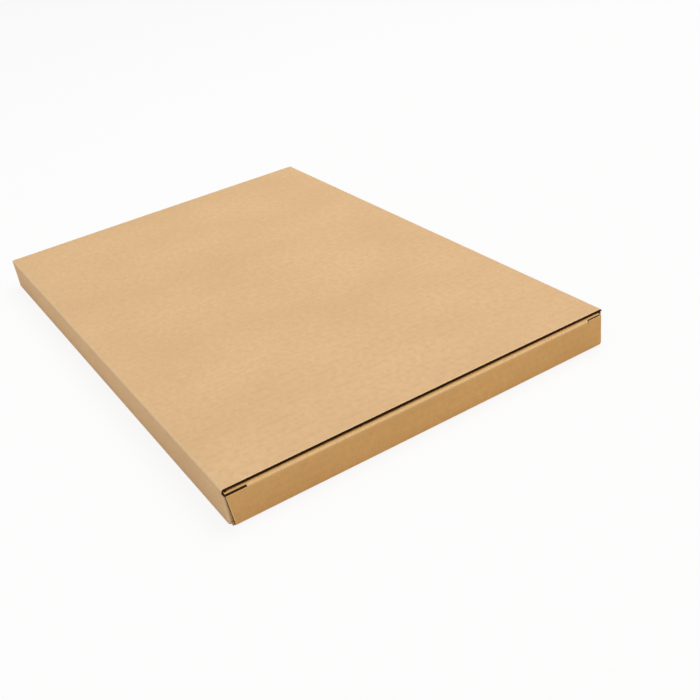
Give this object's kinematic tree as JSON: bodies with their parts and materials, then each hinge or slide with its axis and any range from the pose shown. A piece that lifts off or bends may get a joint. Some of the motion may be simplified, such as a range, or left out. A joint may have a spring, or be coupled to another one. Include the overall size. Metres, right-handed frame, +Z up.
{
  "type": "picture frame box",
  "caption": "Flat corrugated shipping carton for a framed picture, with a hinged closure panel, tuck flap and slit locks at each end.",
  "frame": {"origin": "centre of the closed box's footprint, on the surface it lies on", "axes": "+X to the right along the front closure, +Y from the front closure to the rear closure, +Z up"},
  "size_m": [0.33, 0.5, 0.03],
  "materials": {
    "kraft_board": "matte brown kraft paper on corrugated board"
  },
  "bodies": {
    "box": {"sleeve": "kraft_board"},
    "front_flap": {"front_closure": "kraft_board"},
    "rear_flap": {"rear_closure": "kraft_board"}
  },
  "joints": [
    {"name": "front_closure_crease", "type": "hinge", "parent": "box", "child": "front_flap", "pos_m": [0, -0.2485, 0.0015], "axis": [1, 0, 0], "range_deg": [0, 90]},
    {"name": "rear_closure_crease", "type": "hinge", "parent": "box", "child": "rear_flap", "pos_m": [0, 0.2485, 0.0015], "axis": [-1, 0, 0], "range_deg": [0, 90]}
  ]
}
